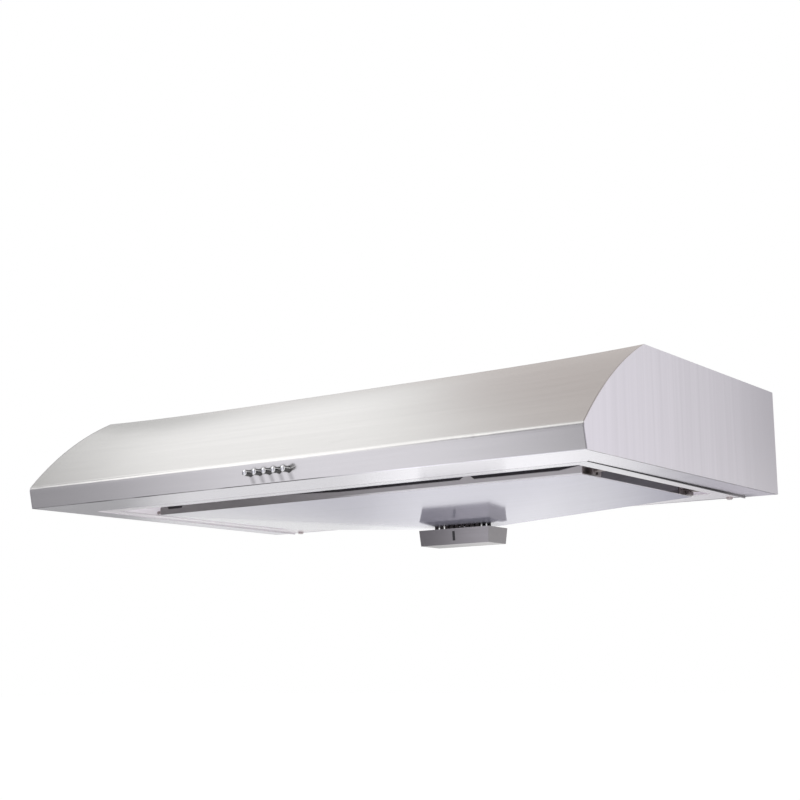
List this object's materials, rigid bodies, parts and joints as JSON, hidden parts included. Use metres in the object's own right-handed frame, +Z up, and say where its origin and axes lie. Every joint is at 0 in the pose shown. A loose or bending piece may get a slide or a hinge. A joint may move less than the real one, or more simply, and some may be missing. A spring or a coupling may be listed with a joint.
{
  "type": "under cabinet range hood",
  "caption": "Stainless under-cabinet range hood with a bowed front, push buttons, tilting oil guard, slide-off oil cup, blowers and a damped round duct collar.",
  "frame": {"origin": "on the flat top face, at the centre of the cabinet screw holes", "axes": "+X to the right as seen from the front, +Y to the wall, +Z up"},
  "size_m": [0.908, 0.5554, 0.2315],
  "materials": {
    "brushed_steel": "fine brushed stainless",
    "polished_steel": "near-mirror polished stainless",
    "cup_steel": "satin stainless",
    "spring_steel": "bare spring steel",
    "chrome": "polished",
    "black_plastic": "moulded",
    "galvanised": "galvanised sheet",
    "zinc": "zinc plated",
    "impeller_alloy": "stamped",
    "motor_black": "black enamel",
    "capacitor_white": "plain white can",
    "lamp_rim": "satin chrome",
    "lamp_glass": "frosted",
    "rubber": "soft"
  },
  "bodies": {
    "hood": {"front_panel": "brushed_steel", "side_panel_left": "brushed_steel", "side_panel_right": "brushed_steel", "top_panel": "brushed_steel", "back_panel": "brushed_steel", "shell_rivets": "brushed_steel", "bottom_frame": "brushed_steel", "liner_tray": "polished_steel", "liner_roof": "polished_steel", "liner_thumbscrews": "chrome", "guard_pins": "spring_steel", "switch_body": "black_plastic", "switch_bracket": "galvanised", "switch_screws": "zinc", "motor_screws": "zinc", "grille_screws": "zinc", "blower_bolts": "zinc", "collector_box": "galvanised", "duct_collar": "galvanised", "collar_screws": "zinc", "damper_rod": "zinc", "terminal_box": "galvanised", "terminal_cover": "galvanised", "terminal_block": "black_plastic", "cable_bush": "rubber", "capacitor_straps": "galvanised", "blower_housing_right": "galvanised", "blower_housing_left": "galvanised", "blower_cover_right": "galvanised", "blower_cover_left": "galvanised", "motor_right": "motor_black", "motor_left": "motor_black", "inlet_grille_right": "black_plastic", "inlet_grille_left": "black_plastic", "lamp_housing_right": "lamp_rim", "lamp_housing_left": "lamp_rim", "lamp_lens_right": "lamp_glass", "lamp_lens_left": "lamp_glass", "capacitor_right": "capacitor_white", "capacitor_left": "capacitor_white"},
    "oil_guard": {"oil_guard_panel": "polished_steel", "guard_clip_left": "spring_steel", "guard_clip_right": "spring_steel", "guard_hinge_left": "spring_steel", "guard_hinge_right": "spring_steel", "guard_rivets": "spring_steel", "cup_hanger": "cup_steel"},
    "oil_cup": {"oil_cup": "cup_steel", "cup_window": "black_plastic"},
    "button_off": {"button_off": "chrome"},
    "button_low": {"button_low": "chrome"},
    "button_medium": {"button_medium": "chrome"},
    "button_high": {"button_high": "chrome"},
    "button_light": {"button_light": "chrome"},
    "fan_left": {"impeller_left": "impeller_alloy", "motor_shaft_left": "zinc"},
    "fan_right": {"impeller_right": "impeller_alloy", "motor_shaft_right": "zinc"},
    "damper_front": {"damper_flap_front": "galvanised"},
    "damper_rear": {"damper_flap_rear": "galvanised"}
  },
  "joints": [
    {"name": "guard_hinge", "type": "hinge", "parent": "hood", "child": "oil_guard", "pos_m": [0, 0.11, -0.1385], "axis": [1, 0, 0], "range_deg": [0, 65]},
    {"name": "cup_slide", "type": "slide", "parent": "oil_guard", "child": "oil_cup", "axis": [0, -1, 0], "range_m": [0, 0.06]},
    {"name": "button_off_press", "type": "slide", "parent": "hood", "child": "button_off", "axis": [0, 1, 0], "range_m": [0, 0.0035], "stiffness_N_per_m": 600},
    {"name": "button_low_press", "type": "slide", "parent": "hood", "child": "button_low", "axis": [0, 1, 0], "range_m": [0, 0.0035], "stiffness_N_per_m": 600},
    {"name": "button_medium_press", "type": "slide", "parent": "hood", "child": "button_medium", "axis": [0, 1, 0], "range_m": [0, 0.0035], "stiffness_N_per_m": 600},
    {"name": "button_high_press", "type": "slide", "parent": "hood", "child": "button_high", "axis": [0, 1, 0], "range_m": [0, 0.0035], "stiffness_N_per_m": 600},
    {"name": "button_light_press", "type": "slide", "parent": "hood", "child": "button_light", "axis": [0, 1, 0], "range_m": [0, 0.0035], "stiffness_N_per_m": 600},
    {"name": "fan_left_spin", "type": "hinge", "parent": "hood", "child": "fan_left", "pos_m": [-0.2, -0.0475, 0], "axis": [0, 0, -1], "continuous": true},
    {"name": "fan_right_spin", "type": "hinge", "parent": "hood", "child": "fan_right", "pos_m": [0.2, -0.0475, 0], "axis": [0, 0, 1], "continuous": true},
    {"name": "damper_front_hinge", "type": "hinge", "parent": "hood", "child": "damper_front", "pos_m": [0, 0.0845, 0.008], "axis": [-1, 0, 0], "range_deg": [0, 80]},
    {"name": "damper_rear_hinge", "type": "hinge", "parent": "hood", "child": "damper_rear", "pos_m": [0, 0.0845, 0.008], "axis": [1, 0, 0], "range_deg": [0, 80]}
  ]
}
